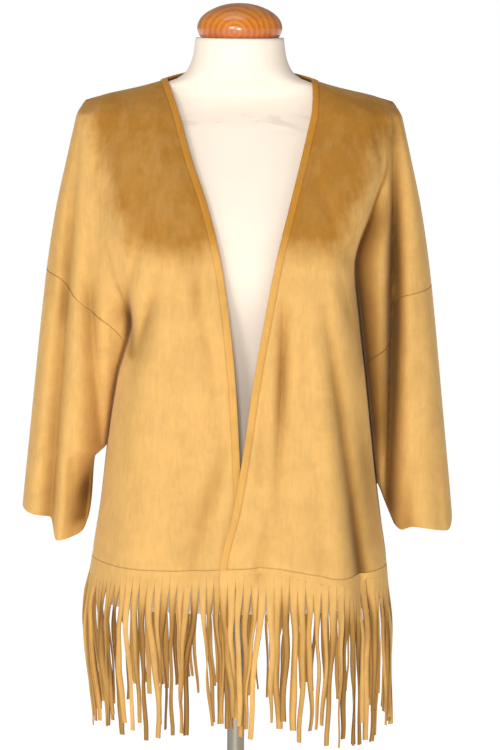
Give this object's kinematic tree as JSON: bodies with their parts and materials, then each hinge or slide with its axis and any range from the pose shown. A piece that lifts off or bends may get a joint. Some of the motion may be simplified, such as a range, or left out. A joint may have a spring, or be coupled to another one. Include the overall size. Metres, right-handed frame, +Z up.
{
  "type": "fringed open-front jacket on dress form",
  "caption": "Open-front cloth jacket with wide drop-shoulder sleeves, a narrow edge band and a long fringed hem, hung on a limbless dress form on a pole and round base.",
  "frame": {"origin": "centre of the base's underside, on the floor", "axes": "+Z up, the front of the jacket faces -Y, the wearer's left is at +X"},
  "size_m": [0.542, 0.35, 1.5231],
  "materials": {
    "cloth": "napped suede look, matt with a soft sheen",
    "band": "folded strip of the same cloth, stitched",
    "fringe": "cut strands of the same cloth",
    "form_cover": "smooth stretched cream jersey",
    "wood": "turned and varnished, glossy",
    "chrome": "polished tube",
    "base": "polished domed disc"
  },
  "bodies": {
    "root": {"front_right": "cloth", "front_left": "cloth", "back": "cloth", "sleeve_right": "cloth", "sleeve_left": "cloth", "band": "band", "fringe_front_right": "fringe", "fringe_front_left": "fringe", "fringe_back": "fringe", "form_torso": "form_cover", "neck_cap": "wood", "stand_pole": "chrome", "stand_collar": "base", "stand_base": "base"}
  },
  "joints": []
}
